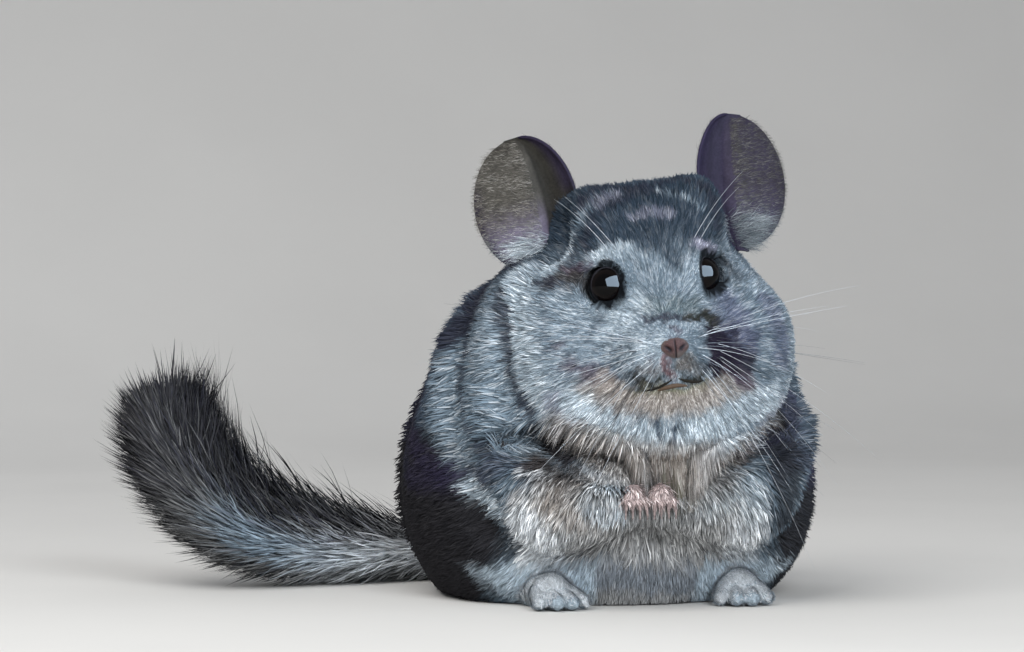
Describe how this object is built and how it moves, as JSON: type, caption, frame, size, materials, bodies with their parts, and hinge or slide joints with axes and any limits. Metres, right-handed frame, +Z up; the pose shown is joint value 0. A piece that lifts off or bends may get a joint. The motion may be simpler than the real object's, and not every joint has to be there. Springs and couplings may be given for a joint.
{
  "type": "chinchilla",
  "caption": "A life-size grey chinchilla sitting on its haunches with its paws held up at its chest and its bushy tail swept round and up at its side.",
  "frame": {"origin": "the flat underside of the trunk, on the floor under the middle of the body", "axes": "-Y is the way the animal faces, +X is its left and +Z is up"},
  "size_m": [0.2737, 0.1913, 0.1919],
  "materials": {
    "head_fur": "short silver grey fur",
    "neck_fur": "dense silver grey fur",
    "back_fur": "dense blue grey fur with dark tips",
    "thigh_fur": "dense dark grey fur",
    "foreleg_fur": "white fur",
    "foot_fur": "very short white fur",
    "paw_skin": "pink skin with sparse white hair",
    "ear_skin": "thin dark skin with fine pale hair",
    "eye_black": "wet black",
    "tail_grey": "pale blue grey fur",
    "tail_brush": "long stiff grey and black hair"
  },
  "bodies": {
    "root": {"head": "head_fur", "neck": "neck_fur", "torso": "back_fur", "thigh_right": "thigh_fur", "thigh_left": "thigh_fur", "foreleg_right": "foreleg_fur", "foreleg_left": "foreleg_fur", "hind_foot_right": "foot_fur", "hind_foot_left": "foot_fur", "forepaw_right": "paw_skin", "forepaw_left": "paw_skin", "ear_right": "ear_skin", "ear_left": "ear_skin", "eye_right": "eye_black", "eye_left": "eye_black", "tail_root": "tail_grey", "tail_middle": "tail_brush", "tail_tip": "tail_brush"}
  },
  "joints": []
}
